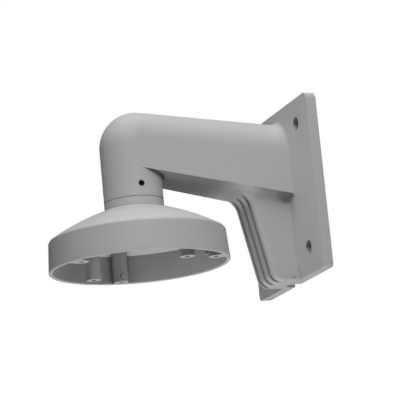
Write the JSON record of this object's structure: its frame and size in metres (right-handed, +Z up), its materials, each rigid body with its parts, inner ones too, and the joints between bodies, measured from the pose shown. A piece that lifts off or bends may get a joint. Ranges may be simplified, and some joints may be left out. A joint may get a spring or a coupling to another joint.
{
  "type": "camera wall bracket",
  "caption": "Cast wall bracket for a dome camera: square wall plate, gusseted hollow arm with a rounded elbow, and a shallow round mounting cap.",
  "frame": {"origin": "middle of the wall screw holes, on the wall plane", "axes": "+X along the wall plate's width, +Y into the wall so that the arm reaches to -Y, +Z up"},
  "size_m": [0.12, 0.172, 0.1195],
  "materials": {
    "coated_casting": "matte light grey powder coat over die-cast aluminium",
    "screw_steel": "blackened steel"
  },
  "bodies": {
    "root": {"arm_bracket": "coated_casting", "mounting_cap": "coated_casting", "set_screw": "screw_steel"}
  },
  "joints": []
}
